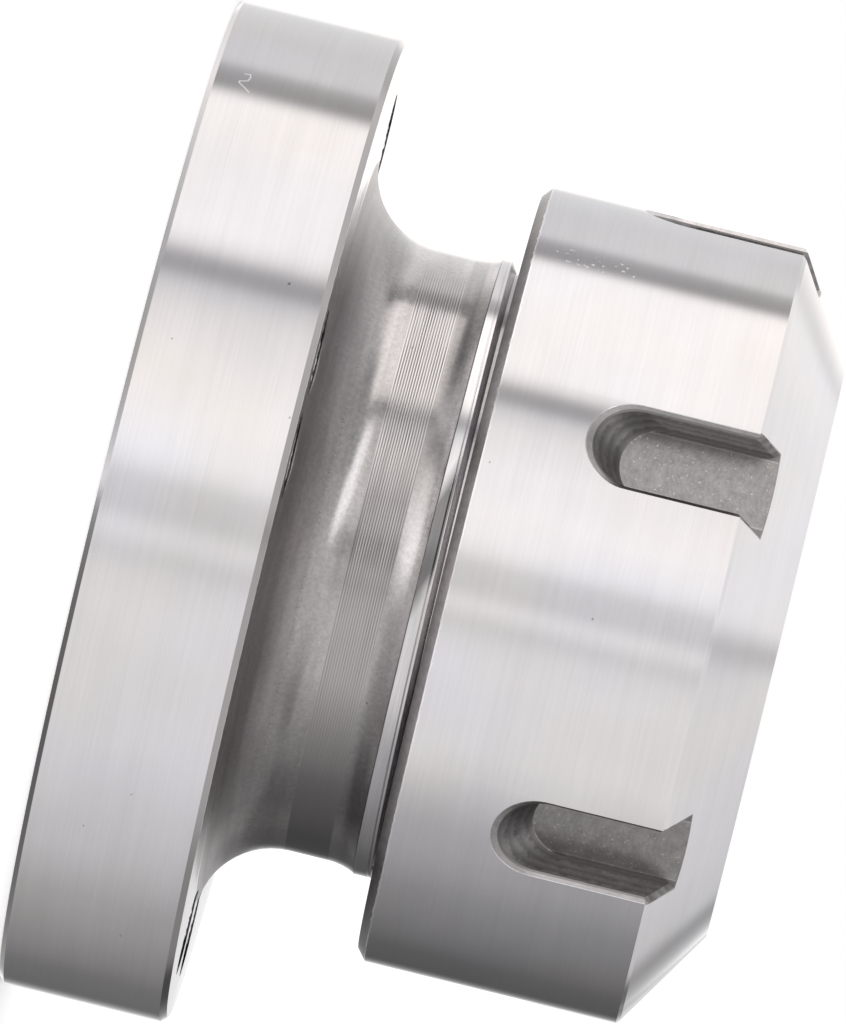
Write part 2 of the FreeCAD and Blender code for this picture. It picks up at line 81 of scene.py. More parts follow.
class Tree:
    """Short names for the shader nodes that the finishes are made of."""

    def __init__(self, owner):
        owner.use_nodes = True
        self.nodes = owner.node_tree.nodes
        self.links = owner.node_tree.links
        self.nodes.clear()

    def add(self, kind, **settings):
        node = self.nodes.new(kind)
        for name, value in settings.items():
            setattr(node, name, value)
        return node

    def feed(self, socket, value):
        if isinstance(value, bpy.types.NodeSocket):
            self.links.new(value, socket)
        else:
            socket.default_value = value

    def math(self, operation, *values, clamp=False):
        node = self.add("ShaderNodeMath", operation=operation, use_clamp=clamp)
        for socket, value in zip(node.inputs, values):
            self.feed(socket, value)
        return node.outputs[0]

    def join(self, x, y, z):
        node = self.add("ShaderNodeCombineXYZ")
        for socket, value in zip(node.inputs, (x, y, z)):
            self.feed(socket, value)
        return node.outputs[0]

    def ramp(self, value, low, high, out_low=0.0, out_high=1.0, smooth=False):
        node = self.add("ShaderNodeMapRange", clamp=True)
        if smooth:
            node.interpolation_type = "SMOOTHSTEP"
        for socket, number in zip(node.inputs, (value, low, high, out_low, out_high)):
            self.feed(socket, number)
        return node.outputs[0]

    def noise(self, vector, scale=1.0, detail=2.0, rough=0.5):
        node = self.add("ShaderNodeTexNoise")
        self.feed(node.inputs["Vector"], vector)
        self.feed(node.inputs["Scale"], scale)
        self.feed(node.inputs["Detail"], detail)
        self.feed(node.inputs["Roughness"], rough)
        return node.outputs[0]

    def cells(self, vector, scale):
        node = self.add("ShaderNodeTexVoronoi", feature="F1")
        self.feed(node.inputs["Vector"], vector)
        self.feed(node.inputs["Scale"], scale)
        return node.outputs

    def mix(self, factor, first, second):
        node = self.add("ShaderNodeMix", data_type="RGBA")
        self.feed(node.inputs[0], factor)
        self.feed(node.inputs[6], first)
        self.feed(node.inputs[7], second)
        return node.outputs[2]

    def blend(self, factor, first, second):
        node = self.add("ShaderNodeMix", data_type="FLOAT")
        self.feed(node.inputs[0], factor)
        self.feed(node.inputs[2], first)
        self.feed(node.inputs[3], second)
        return node.outputs[0]

    def vector(self, operation, first, second):
        node = self.add("ShaderNodeVectorMath", operation=operation)
        self.feed(node.inputs[0], first)
        self.feed(node.inputs[1], second)
        return node.outputs

    def tint(self, colour, level):
        """A colour, or any vector, times a number."""
        node = self.add("ShaderNodeVectorMath", operation="SCALE")
        self.feed(node.inputs[0], colour[:3] if isinstance(colour, tuple) else colour)
        self.feed(node.inputs[3], level)
        return node.outputs[0]

    def split(self, vector):
        node = self.add("ShaderNodeSeparateXYZ")
        self.feed(node.inputs[0], vector)
        return node.outputs

    def spread(self, noise, low, high):
        """The middle range of a noise, drawn out between two values."""
        return self.ramp(noise, 0.3, 0.7, low, high)

    def facing(self, x, y):
        """How far a place or direction lies toward FACING, and how far to its side."""
        away = math.radians(FACING)
        front = self.math("ADD", self.math("MULTIPLY", x, math.cos(away)),
                          self.math("MULTIPLY", y, math.sin(away)))
        side = self.math("SUBTRACT", self.math("MULTIPLY", y, math.cos(away)),
                         self.math("MULTIPLY", x, math.sin(away)))
        return front, side

    def surface(self, shader, output="ShaderNodeOutputMaterial"):
        node = self.add(output)
        self.feed(node.inputs["Surface"], shader)


class Place:
    """Where a point of a finish lies on the chuck: millimetres along and off its axis."""

    def __init__(self, tree):
        self.tree = tree
        coords = tree.add("ShaderNodeTexCoord").outputs["Object"]
        self.point = tree.tint(coords, 1 / MM)
        self.x, self.y, self.z = tree.split(self.point)
        self.angle = tree.math("ARCTAN2", self.y, self.x)
        front, side = tree.facing(self.x, self.y)
        # degrees round the axis from FACING
        self.turn = tree.math("MULTIPLY", tree.math("ARCTAN2", side, front), 180 / math.pi)
        squares = tree.math("ADD", tree.math("MULTIPLY", self.x, self.x),
                            tree.math("MULTIPLY", self.y, self.y))
        self.radius = tree.math("SQRT", squares)
        # 1 on the side that the photograph shows and 0 on the far side
        self.shown = tree.ramp(tree.math("ABSOLUTE", self.turn), 95.0, 125.0, 1.0, 0.0)

    def along(self, streak, lines, seed=0.0):
        """Noise drawn out round the axis: streak is its length in radians, lines its pitch in mm."""
        tree = self.tree
        round_axis = tree.math("MULTIPLY", self.radius, streak)
        level = tree.math("DIVIDE", tree.math("SUBTRACT", self.z, self.radius), lines)
        return tree.join(tree.math("DIVIDE", self.x, round_axis),
                         tree.math("DIVIDE", self.y, round_axis),
                         tree.math("ADD", level, seed))

    def sided(self, value, low, high, out_low, out_high):
        """Painted shade: a factor that varies on the side the photograph shows and is 1 beyond it.

        It stays on the steel under any light, and turns with the body that carries it.
        """
        return self.tree.blend(self.shown, 1.0, self.tree.ramp(value, low, high, out_low, out_high))

    def above(self, inside, outside):
        """1 on the upper part of the shown side, fading between two turns in degrees."""
        return both(self.tree, self.shown, self.tree.ramp(self.turn, inside, outside, 1.0, 0.0))


def bump(tree, height, distance, below=None):
    node = tree.add("ShaderNodeBump")
    node.inputs["Strength"].default_value = 1.0
    node.inputs["Distance"].default_value = distance * MM
    tree.feed(node.inputs["Height"], height)
    if below is not None:
        tree.feed(node.inputs["Normal"], below)
    return node.outputs[0]


def metal(tree, colour, roughness, normal, anisotropy):
    """The shader of a turned or ground steel surface, brushed round the axis."""
    shader = tree.add("ShaderNodeBsdfPrincipled")
    shader.inputs["Metallic"].default_value = 1.0
    tree.feed(shader.inputs["Anisotropic"], anisotropy)
    shader.inputs["Anisotropic Rotation"].default_value = 0.25
    tree.feed(shader.inputs["Base Color"], colour)
    tree.feed(shader.inputs["Roughness"], roughness)
    tree.feed(shader.inputs["Normal"], normal)
    tangent = tree.add("ShaderNodeTangent", direction_type="RADIAL", axis="Z")
    tree.feed(shader.inputs["Tangent"], tangent.outputs[0])
    tree.surface(shader.outputs[0])


# Finishes

def new_material(name):
    material = bpy.data.materials.new(name)
    return material, Tree(material)


def brushed(tree, place, fine=0.16, seed=0.0):
    """Grey level about 1 that carries the fine tool lines and the slow cloudiness of the steel."""
    lines = tree.noise(place.along(0.35, fine, seed), detail=3.0, rough=0.6)
    wide = tree.noise(place.along(1.1, fine * 9, seed + 31.0), detail=2.0)
    cloud = tree.noise(place.point, scale=0.12, detail=3.0)
    level = tree.math("ADD", tree.spread(lines, -0.022, 0.022),
                      tree.spread(wide, -0.016, 0.016))
    level = tree.math("ADD", level, tree.spread(cloud, -0.03, 0.03))
    return tree.math("ADD", level, 1.0), lines


def specks(tree, place, scale, share, size, seed=0.0):
    """Scattered small marks of uneven outline: 1 on the marks and 0 elsewhere."""
    moved = tree.vector("ADD", place.point, (seed, seed * 0.7, seed * 1.3))[0]
    found = tree.cells(moved, scale)
    ragged = tree.spread(tree.noise(moved, scale=9.0, detail=3.0), -0.75, 0.75)
    reach = tree.math("ADD", found["Distance"], tree.math("MULTIPLY", ragged, size))
    near = tree.math("LESS_THAN", reach, size * 0.6)
    chosen = tree.add("ShaderNodeSeparateColor")
    tree.feed(chosen.inputs[0], found["Color"])
    return tree.math("MULTIPLY", near, tree.math("LESS_THAN", chosen.outputs[0], share))


def zone(tree, value, low, high, soft=0.02):
    """1 where a value lies between two bounds and 0 elsewhere, over a soft edge."""
    rise = tree.ramp(value, low - soft, low + soft)
    return tree.math("MULTIPLY", rise, tree.ramp(value, high - soft, high + soft, 1.0, 0.0))


def both(tree, *masks):
    """The product of masks and factors; of masks alone, 1 where every mask is 1."""
    result = masks[0]
    for mask in masks[1:]:
        result = tree.math("MULTIPLY", result, mask)
    return result


WARM = (1.0, 0.962, 0.962, 1)
COOL = (0.985, 0.962, 1.0, 1)
BROWN = (1.0, 0.935, 0.915, 1)


def steel_colour(tree, place, level):
    """Steel's grey with its faint warm and cool patches, at a given level."""
    patch = tree.noise(place.point, scale=0.07, detail=2.0)
    return tree.tint(tree.mix(tree.ramp(patch, 0.38, 0.62), WARM, COOL), level)


def hole_distance(tree, place):
    """Distance in millimetres from the axis of the nearest mounting hole."""
    nearest = None
    for half_step, start in ((60.0, 0.0), (45.0, 45.0)):
        turned = tree.math("SUBTRACT", place.angle, math.radians(start))
        aside = tree.math("COSINE", tree.math("PINGPONG", turned, math.radians(half_step)))
        cross = tree.math("MULTIPLY", tree.math("MULTIPLY", place.radius, aside), 2 * HOLE_CIRCLE)
        square = tree.math("ADD", tree.math("MULTIPLY", place.radius, place.radius), HOLE_CIRCLE ** 2)
        distance = tree.math("SQRT", tree.math("MAXIMUM", tree.math("SUBTRACT", square, cross), 0.0))
        nearest = distance if nearest is None else tree.math("MINIMUM", nearest, distance)
    return nearest


def fibre(tree, place, radius, points, half_width):
    """1 along a fine bent line; its points are degrees from FACING and millimetres along the axis."""
    unrolled = radius * math.pi / 180
    here = tree.join(tree.math("MULTIPLY", place.turn, unrolled), place.z, 0.0)
    nearest = None
    for start, end in zip(points, points[1:]):
        first = Vector((start[0] * unrolled, start[1], 0.0))
        run = Vector((end[0] * unrolled, end[1], 0.0)) - first
        offset = tree.vector("SUBTRACT", here, first)[0]
        share = tree.vector("DOT_PRODUCT", offset, run / run.length_squared)[1]
        share = tree.math("MAXIMUM", tree.math("MINIMUM", share, 1.0), 0.0)
        distance = tree.vector("DISTANCE", offset, tree.tint(run, share))[1]
        nearest = distance if nearest is None else tree.math("MINIMUM", nearest, distance)
    return tree.ramp(nearest, half_width * 0.5, half_width * 1.3, 1.0, 0.0)


def open_groove(tree, place):
    """The first turn of the nose thread's groove, between the collar and the nut, on the shown side:
    the mask of its painted shade.
    """
    along = tree.math("SUBTRACT", place.z, tree.math("MULTIPLY", place.turn, PITCH / 360))
    return both(tree, zone(tree, along, 26.13, 27.35, 0.02), place.shown)


def groove_shade_level(tree, place):
    """Painted shade in the open groove: its level, darker above and below the middle of the shown
    side.
    """
    return tree.math("MULTIPLY", both(tree, place.sided(place.turn, -34.0, -20.0, 0.7, 1.0),
                                      place.sided(place.turn, 8.0, 30.0, 1.0, 0.6)), 0.6)


def tool_grooves(tree, place, grooved, cut_side):
    """Height of the neck's fine tool grooves about their middle, less where they are worn."""
    wobble = tree.noise(place.along(2.5, 0.9, 7.0), detail=1.0)
    phase = tree.math("ADD", tree.math("MULTIPLY", place.z, 2 * math.pi / GROOVE_PITCH),
                      tree.spread(wobble, -0.4, 0.4))
    groove = tree.math("MULTIPLY", tree.math("SINE", phase), grooved)
    worn = tree.spread(tree.noise(place.along(0.25, 0.8, 13.0), detail=4.0), 0.5, 1.2)
    # painted shade: the grooves fade towards the lower part of the shown side, down to 0.16
    deep = both(tree, cut_side, place.sided(place.turn, -12.0, 40.0, 1.0, 0.16))
    return tree.math("MULTIPLY", groove, tree.math("MULTIPLY", worn, deep))


def neck_grey(tree, place, matt, cut):
    """The matt neck's level, with painted shade and painted highlights: fillet foot, highlight patch,
    the cut band and the flare by the collar.
    """
    smear = tree.noise(place.along(0.5, 1.4, 23.0), detail=4.0)
    # painted shade and painted light on the fillet by the flange, set differently on the upper part of
    # the shown side
    upper_foot = tree.ramp(place.z, 15.2, 17.8, 1.32, 1.0, smooth=True)
    lower_foot = tree.math("MULTIPLY", tree.ramp(place.z, 17.0, 18.4, 0.88, 1.3, smooth=True),
                           place.sided(place.turn, -76.0, -58.0, 1.45, 1.0))
    foot = tree.blend(place.above(-40.0, -20.0), upper_foot, lower_foot)
    # a painted highlight: a bright patch on the neck by the fillet, on the shown side
    painted_highlight_patch = both(tree, zone(tree, place.z, 17.2, 19.2, 0.4),
                     zone(tree, place.turn, -30.0, -4.0, 5.0))
    # its two turn factors are painted shade past 34 degrees and painted light past 56 degrees on the
    # shown side
    level = both(tree, tree.spread(smear, 0.33, 0.42), foot,
                 place.sided(place.turn, 34.0, 48.0, 1.0, 0.7),
                 place.sided(place.turn, 56.0, 66.0, 1.0, 1.7),
                 tree.blend(painted_highlight_patch, 1.0, 1.2), tree.spread(matt, 0.84, 1.16))
    # painted shade over the cut band: lighter on its upper part, set darker by turn elsewhere
    lower_band_shade = tree.math("MULTIPLY", place.sided(place.turn, -2.0, 9.0, 0.71, 1.0), 0.35)
    scored_band_shade = both(tree, tree.blend(place.above(-26.0, -10.0), lower_band_shade, 0.5),
                  place.sided(place.turn, 34.0, 48.0, 1.0, 0.72))
    level = tree.blend(cut, level, scored_band_shade)
    # painted shade on the upper part of the flare
    flare_shade = both(tree, zone(tree, place.z, GROOVES_END + 0.08, 24.15, 0.1),
                      place.above(-36.0, -26.0))
    # a painted highlight where the flare meets the collar, on the shown side
    flare_highlight = both(tree, tree.ramp(place.z, 24.3, 24.7),
                        zone(tree, place.turn, -30.0, -6.0, 6.0))
    return both(tree, level, tree.blend(flare_shade, 1.0, 0.78),
                tree.blend(flare_highlight, 1.0, 1.9))


def chuck_finish():
    """Fine turned flange, matt neck with its tool grooves, polished ring and bright nose."""
    material, tree = new_material("turned_steel_finish")
    place = Place(tree)
    grain, lines = brushed(tree, place)
    outer = tree.math("GREATER_THAN", place.radius, 22.5)
    neck = both(tree, zone(tree, place.z, FLANGE_FRONT + 0.02, COLLAR_START - 0.02),
                tree.math("GREATER_THAN", place.radius, NECK_RADIUS - 0.2))
    face = both(tree, zone(tree, place.z, FLANGE_FRONT - 0.02, FLANGE_FRONT + 0.02),
                tree.math("LESS_THAN", place.radius, FLANGE_RADIUS - 0.48))
    front_edge = both(tree, zone(tree, place.z, FLANGE_FRONT - 0.5, FLANGE_FRONT + 0.02),
                      tree.math("GREATER_THAN", place.radius, FLANGE_RADIUS - 0.5))

    grooved = zone(tree, place.z, GROOVES_START, GROOVES_END, 0.06)
    cut_side = tree.math("MAXIMUM", tree.ramp(place.turn, -69.0, -58.0),
                         tree.ramp(place.turn, -150.0, -120.0, 1.0, 0.0))
    groove = tool_grooves(tree, place, grooved, cut_side)
    matt = tree.noise(place.point, scale=2.6, detail=4.0, rough=0.8)
    neck_level = neck_grey(tree, place, matt, both(tree, grooved, cut_side))
    neck_level = tree.math("MULTIPLY", neck_level,
                           tree.math("ADD", tree.math("MULTIPLY", groove, 0.5), 1.0))

    hole = hole_distance(tree, place)
    # Painted shade fills the mounting holes, and a painted highlight runs along their first thread.
    in_hole = both(tree, tree.math("LESS_THAN", hole, 3.46),
                   tree.math("LESS_THAN", place.z, FLANGE_FRONT - 0.01))
    torn = tree.spread(tree.noise(place.point, scale=2.0, detail=3.0), -0.05, 0.05)
    first_thread = zone(tree, tree.math("ADD", hole, torn), 3.22, 3.29, 0.015)
    hole_level = tree.blend(first_thread, 0.05, 0.9)

    # painted shade in the open groove between the collar and the nut
    gap = both(tree, open_groove(tree, place), outer)
    # painted shade: a thin dark line in the crease where the flare meets the collar
    collar_line = both(tree, outer, zone(tree, place.z, COLLAR_START - 0.06, COLLAR_START + 0.02))

    level = tree.math("MULTIPLY", grain, tree.blend(neck, 0.66, neck_level))
    pits = specks(tree, place, 0.7, 0.05, 0.09)
    level = tree.math("MULTIPLY", level, tree.blend(pits, 1.0, 0.45))
    lint = both(tree, fibre(tree, place, FLANGE_RADIUS, LINT, 0.07),
                tree.math("GREATER_THAN", place.radius, FLANGE_RADIUS - 0.1))
    level = tree.blend(lint, level, 0.95)
    level = tree.blend(face, level, 0.88)
    level = tree.blend(front_edge, level, 0.36)
    level = tree.blend(gap, level, groove_shade_level(tree, place))
    level = tree.blend(collar_line, level, 0.12)
    level = tree.blend(in_hole, level, hole_level)

    neck_rough = tree.math("ADD", tree.ramp(place.z, 15.2, 17.6, 0.24, 0.0, smooth=True),
                           tree.spread(matt, 0.13, 0.19))
    roughness = tree.blend(neck, 0.17, neck_rough)
    roughness = tree.blend(face, roughness, 0.10)
    roughness = tree.blend(lint, roughness, 0.45)
    height = tree.math("MULTIPLY", lines, 0.12)
    normal = bump(tree, height, 0.012)
    rough_height = tree.math("ADD", tree.math("MULTIPLY", groove, 0.35),
                             tree.math("MULTIPLY", matt, 0.07))
    normal = bump(tree, tree.math("MULTIPLY", rough_height, neck), 0.02, normal)
    brown = tree.math("MAXIMUM", tree.math("MAXIMUM", neck, gap), front_edge)
    colour = tree.mix(tree.math("MULTIPLY", brown, 0.6), steel_colour(tree, place, level),
                      tree.tint(BROWN, level))
    metal(tree, colour, roughness, normal, tree.blend(neck, 0.85, 0.3))
    return material


def nut_finish():
    """Bright ground nut with satin milled spanner slots."""
    material, tree = new_material("ground_steel_finish")
    place = Place(tree)
    grain, lines = brushed(tree, place, 0.2, 5.0)
    on_cone = tree.math("MAXIMUM", tree.math("SUBTRACT", place.z, CONE_START), 0.0)
    outline = tree.math("SUBTRACT", NUT_RADIUS, tree.math("MULTIPLY", on_cone, CONE_SLOPE))
    depth = tree.math("SUBTRACT", outline, place.radius)
    turned = tree.math("SUBTRACT", place.angle, math.radians(SLOT_FIRST))
    off_slot = tree.math("PINGPONG", turned, math.radians(SLOT_PITCH / 2))
    aside = tree.math("MULTIPLY", place.radius, tree.math("SINE", off_slot))
    inward = tree.math("MULTIPLY", place.radius, tree.math("COSINE", off_slot))
    slot = both(tree, tree.math("LESS_THAN", aside, SLOT_HALF + 0.5),
                tree.math("GREATER_THAN", place.z, SLOT_END - 0.5),
                tree.math("GREATER_THAN", depth, 0.04),
                tree.math("GREATER_THAN", inward, SLOT_FLOOR - 0.06))
    rim = both(tree, slot, tree.math("LESS_THAN", depth, 0.27))
    floor = both(tree, slot, tree.math("LESS_THAN", inward, SLOT_FLOOR + 0.05))
    wall = tree.math("SUBTRACT", tree.math("SUBTRACT", slot, rim), floor, clamp=True)

    swirl = tree.noise(place.point, scale=1.4, detail=5.0, rough=0.75)
    reach = tree.math("SQRT", tree.math("MAXIMUM", tree.math(
        "SUBTRACT", SLOT_HALF ** 2, tree.math("MULTIPLY", aside, aside)), 0.0))
    sweep = tree.math("ADD", tree.math("ADD", place.z, reach), tree.math("MULTIPLY", swirl, 1.6))
    mill = tree.math("SINE", tree.math("MULTIPLY", sweep, 2 * math.pi / 0.42))
    step_mark = tree.math("SINE", tree.math("MULTIPLY", tree.math(
        "ADD", inward, tree.math("MULTIPLY", swirl, 1.1)), 2 * math.pi / 0.8))
    glint = specks(tree, place, 3.2, 0.35, 0.3, 9.0)
    floor_level = tree.math("ADD", tree.spread(swirl, 0.34, 0.52),
                            tree.math("MULTIPLY", mill, 0.02))
    floor_level = tree.math("ADD", floor_level, tree.math("MULTIPLY", glint, 0.26))
    # painted highlight: a light line along the floor's step by the wall
    step_line = zone(tree, aside, SLOT_HALF - 0.42, SLOT_HALF - 0.3, 0.04)
    floor_level = tree.math("ADD", floor_level, tree.math("MULTIPLY", step_line, 0.16))
    # painted shade where the floor meets the wall
    floor_level = tree.blend(tree.ramp(aside, SLOT_HALF - 0.3, SLOT_HALF - 0.2), floor_level, 0.3)
    # painted shade on the slot walls, far darker than the nut, with the mill's step marks
    wall_level = tree.math("ADD", tree.spread(swirl, 0.16, 0.27),
                           tree.math("MULTIPLY", step_mark, 0.035))
    # painted shade on the slots' rim chamfer, painted twice as light beyond -82 degrees on the shown
    # side
    rim_level = both(tree, tree.spread(swirl, 0.32, 0.44),
                     place.sided(place.turn, -82.0, -74.0, 2.0, 1.0))

    back_edge = both(tree, tree.math("LESS_THAN", place.z, NUT_BACK + 0.72),
                     tree.math("GREATER_THAN", place.radius, NUT_RADIUS - 1.0))
    ragged = tree.ramp(tree.noise(place.along(0.03, 1.0, 41.0), detail=4.0, rough=0.7),
                       0.35, 0.7, -0.09, 0.09)
    edge_at = tree.math("ADD", place.z, ragged)
    # worn and painted light: a thin ragged bright line where the back chamfer meets the nut's side, a
    # painted highlight for its rounding
    worn_and_highlit_edge = both(tree, zone(tree, edge_at, NUT_BACK + 0.72, NUT_BACK + 0.84, 0.03),
                     tree.math("GREATER_THAN", place.radius, NUT_RADIUS - 0.3))

    level = tree.math("MULTIPLY", grain, 0.68)
    pits = specks(tree, place, 0.6, 0.04, 0.08, 3.0)
    level = tree.math("MULTIPLY", level, tree.blend(pits, 1.0, 0.5))
    nicked = both(tree, zone(tree, place.z, NUT_BACK + 2.4, NUT_BACK + 8.8, 0.8),
                  zone(tree, place.turn, -57.6, -53.8, 0.5))
    nicks = both(tree, specks(tree, place, 2.1, 0.6, 0.36, 21.0),
                 tree.math("GREATER_THAN", nicked, 0.5))
    # painted shade on the nut's back edge: darker towards the back face and away from the middle of
    # the shown side
    back_level = both(tree, tree.spread(swirl, 0.22, 0.34),
                      tree.ramp(place.z, NUT_BACK, NUT_BACK + 0.7, 0.75, 1.7),
                      place.sided(place.turn, -44.0, -24.0, 0.6, 1.0),
                      place.sided(place.turn, 22.0, 55.0, 1.0, 0.45))
    level = tree.blend(back_edge, level, back_level)
    level = tree.blend(worn_and_highlit_edge, level, 0.8)
    level = tree.blend(floor, level, floor_level)
    level = tree.blend(wall, level, wall_level)
    level = tree.blend(rim, level, rim_level)
    level = tree.blend(nicks, level, 1.0)

    roughness = tree.blend(slot, 0.17, 0.40)
    roughness = tree.blend(tree.math("MAXIMUM", back_edge, nicks), roughness, 0.35)
    height = tree.blend(slot, tree.math("MULTIPLY", lines, 0.12), tree.math(
        "ADD", swirl, tree.math("MULTIPLY", mill, 0.12)))
    normal = bump(tree, height, 0.012)
    brown = tree.math("MAXIMUM", slot, back_edge)
    colour = tree.mix(tree.math("MULTIPLY", brown, 0.55), steel_colour(tree, place, level),
                      tree.tint(BROWN, level))
    metal(tree, colour, roughness, normal, 0.85)
    return material


def collet_finish():
    """Hardened and ground steel, a little darker and warmer, with a trace of oil."""
    material, tree = new_material("hardened_steel_finish")
    place = Place(tree)
    grain, lines = brushed(tree, place, 0.12, 11.0)
    stain = tree.noise(place.point, scale=0.25, detail=4.0)
    level = tree.math("MULTIPLY", grain, tree.ramp(stain, 0.35, 0.7, 0.5, 0.4))
    normal = bump(tree, lines, 0.006)
    metal(tree, steel_colour(tree, place, level), tree.spread(stain, 0.24, 0.34),
          normal, 0.6)
    return material


def thread_finish(name, level_low, level_high, rough):
    """Cut threads: bright crests and darker, slightly torn flanks, with painted shade on the shown
    side.
    """
    material, tree = new_material(name)
    place = Place(tree)
    grain, lines = brushed(tree, place, 0.1, 17.0)
    torn = tree.noise(place.along(0.2, 0.3, 3.0), detail=3.0)
    level = tree.math("MULTIPLY", grain, tree.spread(torn, level_low, level_high))
    # painted shade: a slanted dark strip on the ring below the thread, on the shown side, down to 0.28
    slanted = tree.math("ADD", place.turn, tree.math("MULTIPLY", place.z, 6.0))
    slanted_shade = both(tree, zone(tree, slanted, 136.5, 158.0, 3.0),
                tree.ramp(place.z, 25.98, 26.08, 1.0, 0.0))
    level = tree.math("MULTIPLY", level, tree.blend(slanted_shade, 1.0, 0.28))
    # painted shade: a fifth darker past the middle of the shown side
    level = both(tree, level, place.sided(place.turn, 0.0, 9.0, 1.0, 0.8))
    level = tree.blend(open_groove(tree, place), level, groove_shade_level(tree, place))
    normal = bump(tree, lines, 0.008)
    metal(tree, steel_colour(tree, place, level), rough, normal, 0.6)
    return material


# Added meshes

def new_object(name, points, faces):
    """An object in the scene, from points in millimetres."""
    mesh = bpy.data.meshes.new(name)
    mesh.from_pydata([tuple(c * MM for c in p) for p in points], [], faces)
    made = bpy.data.objects.new(name, mesh)
    bpy.context.scene.collection.objects.link(made)
    return made


def new_piece(name, points, faces, body, material):
    piece = new_object(name, points, faces)
    piece.data.validate()
    piece.data.shade_smooth()
    piece.data.set_sharp_from_angle(angle=math.radians(25))
    piece.data.materials.append(material)
    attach(piece, body)


def ridge_faces(base, count):
    """Faces along a ridge of count cross-sections, each of four points, from point base on."""
    faces = []
    for i in range(count - 1):
        for k in range(3):
            at = base + i * 4 + k
            faces.append((at + 1, at + 5, at + 4, at))
    return faces


def helix_surface(rows, columns, plain, step):
    """Faces of a ring of columns that closes a pitch, or step rows, higher past its plain rows."""
    faces = []
    for i in range(columns - 1):
        for k in range(rows - 1):
            at = i * rows + k
            faces.append((at, at + rows, at + rows + 1, at + 1))
    last = (columns - 1) * rows
    for k in range(plain):
        faces.append((last + k, k, k + 1, last + k + 1))
    for k in range(plain, plain + step):
        faces.append((last + plain, k, k + 1))
    for k in range(plain, rows - step - 1):
        faces.append((last + k, k + step, k + step + 1, last + k + 1))
    return faces


def smooth_step(value, low, high):
    t = min(max((value - low) / (high - low), 0.0), 1.0)
    return t * t * (3 - 2 * t)


def nose_thread(material):
    """Polished collar ring, thread run-out and the nose's whole helical thread as one surface."""
    columns = 360
    turns = 10
    flank = (THREAD_CREST - THREAD_ROOT) * THREAD_SLOPE
    ring = COLLAR_RADIUS + 0.004
    points = []
    for i in range(columns):
        # the run-out is at the side away from the photograph's camera
        phi = -35.0 + 360.0 * i / columns
        end = CREST_END + PITCH * phi / 360 - PITCH
        if end > THREAD_START + PITCH / 2:
            end -= PITCH
        ramp_angle = (end - THREAD_START) / PITCH * 360
        depth = smooth_step(ramp_angle, -180, -100)
        line_depth = 0.075 * smooth_step(ramp_angle, -170, -120) * smooth_step(-ramp_angle, -170, -120)
        column = [
            (COLLAR_START - 0.02, COLLAR_RADIUS - 0.12),
            (COLLAR_START, COLLAR_RADIUS - 0.03),
            (COLLAR_START + 0.03, ring),
            (end - 0.31, ring),
            (end - 0.24, ring - line_depth),
            (end - 0.17, ring),
        ]
        for turn in range(turns):
            low = end + PITCH * turn
            cut = (depth if turn == 0 else 1.0) * (THREAD_CREST - THREAD_ROOT + 0.01)
            column += [
                (low, THREAD_CREST),
                (low + flank, THREAD_CREST - cut),
                (low + PITCH - CREST_WIDTH - flank, THREAD_CREST - cut),
                (low + PITCH - CREST_WIDTH, THREAD_CREST),
            ]
        for z, radius in column:
            z = min(z, NOSE_FRONT - 0.05)
            lead = THREAD_ROOT - NOSE_LEAD + NOSE_FRONT - z
            radius = min(radius, lead)
            angle = math.radians(phi)
            points.append((radius * math.cos(angle), radius * math.sin(angle), z))
    rows = len(points) // columns
    # the collar's six rows close level, in five strips, and a turn of thread has four rows
    faces = helix_surface(rows, columns, 5, 4)
    new_piece("nose_thread", points, faces, "chuck", material)


def nut_thread(material):
    """The nut's own thread, a ridge that fits the nose's groove with room all round."""
    steps = 120
    turns = int((NUT_THREAD_END - NUT_THREAD_START) / PITCH) - 1
    # half the width of the nose groove's bottom, the room beside the ridge, and the ridge's root,
    # which lies within the nut's wall
    groove_half = 0.17
    room = 0.09
    root = NUT_THREAD_ROOT + 0.02
    narrow = groove_half + (NUT_THREAD_CREST - THREAD_ROOT) * THREAD_SLOPE - room
    wide = groove_half + (root - THREAD_ROOT) * THREAD_SLOPE - room
    centre_zero = CREST_END + (PITCH - CREST_WIDTH) / 2
    start_turn = math.ceil((NUT_THREAD_START + wide - centre_zero) / PITCH)
    points = []
    count = turns * steps + 1
    for i in range(count):
        phi = 2 * math.pi * i / steps
        centre = centre_zero + PITCH * (start_turn + i / steps)
        grow = smooth_step(i, 0, steps / 3) * smooth_step(count - 1 - i, 0, steps / 3)
        top = root - (root - NUT_THREAD_CREST) * grow
        crest = wide - (wide - narrow) * grow
        for offset, radius in ((-wide, root), (-crest, top), (crest, top), (wide, root)):
            points.append((radius * math.cos(phi), radius * math.sin(phi), centre + offset))
    new_piece("nut_thread", points, ridge_faces(0, count), "nut", material)


def hole_threads(material):
    """Tapped thread in every mounting hole of the flange."""
    steps = 40
    end_gap = 0.5
    wall = 3.02
    ridge_height = 0.52
    turns = int((FLANGE_FRONT - 2 * end_gap) / HOLE_PITCH)
    points = []
    faces = []
    for hole in HOLE_ANGLES:
        centre_x = HOLE_CIRCLE * math.cos(math.radians(hole))
        centre_y = HOLE_CIRCLE * math.sin(math.radians(hole))
        count = turns * steps + 1
        base = len(points)
        for i in range(count):
            phi = 2 * math.pi * i / steps
            middle = end_gap + HOLE_PITCH * i / steps + 0.25
            grow = smooth_step(i, 0, steps / 2) * smooth_step(count - 1 - i, 0, steps / 2)
            tip = wall - ridge_height * grow
            for offset, radius in ((-0.42, wall), (-0.12, tip), (0.12, tip), (0.42, wall)):
                points.append((centre_x + radius * math.cos(phi), centre_y + radius * math.sin(phi),
                               middle + offset))
        faces += ridge_faces(base, count)
    new_piece("hole_threads", points, faces, "chuck", material)


# Studio

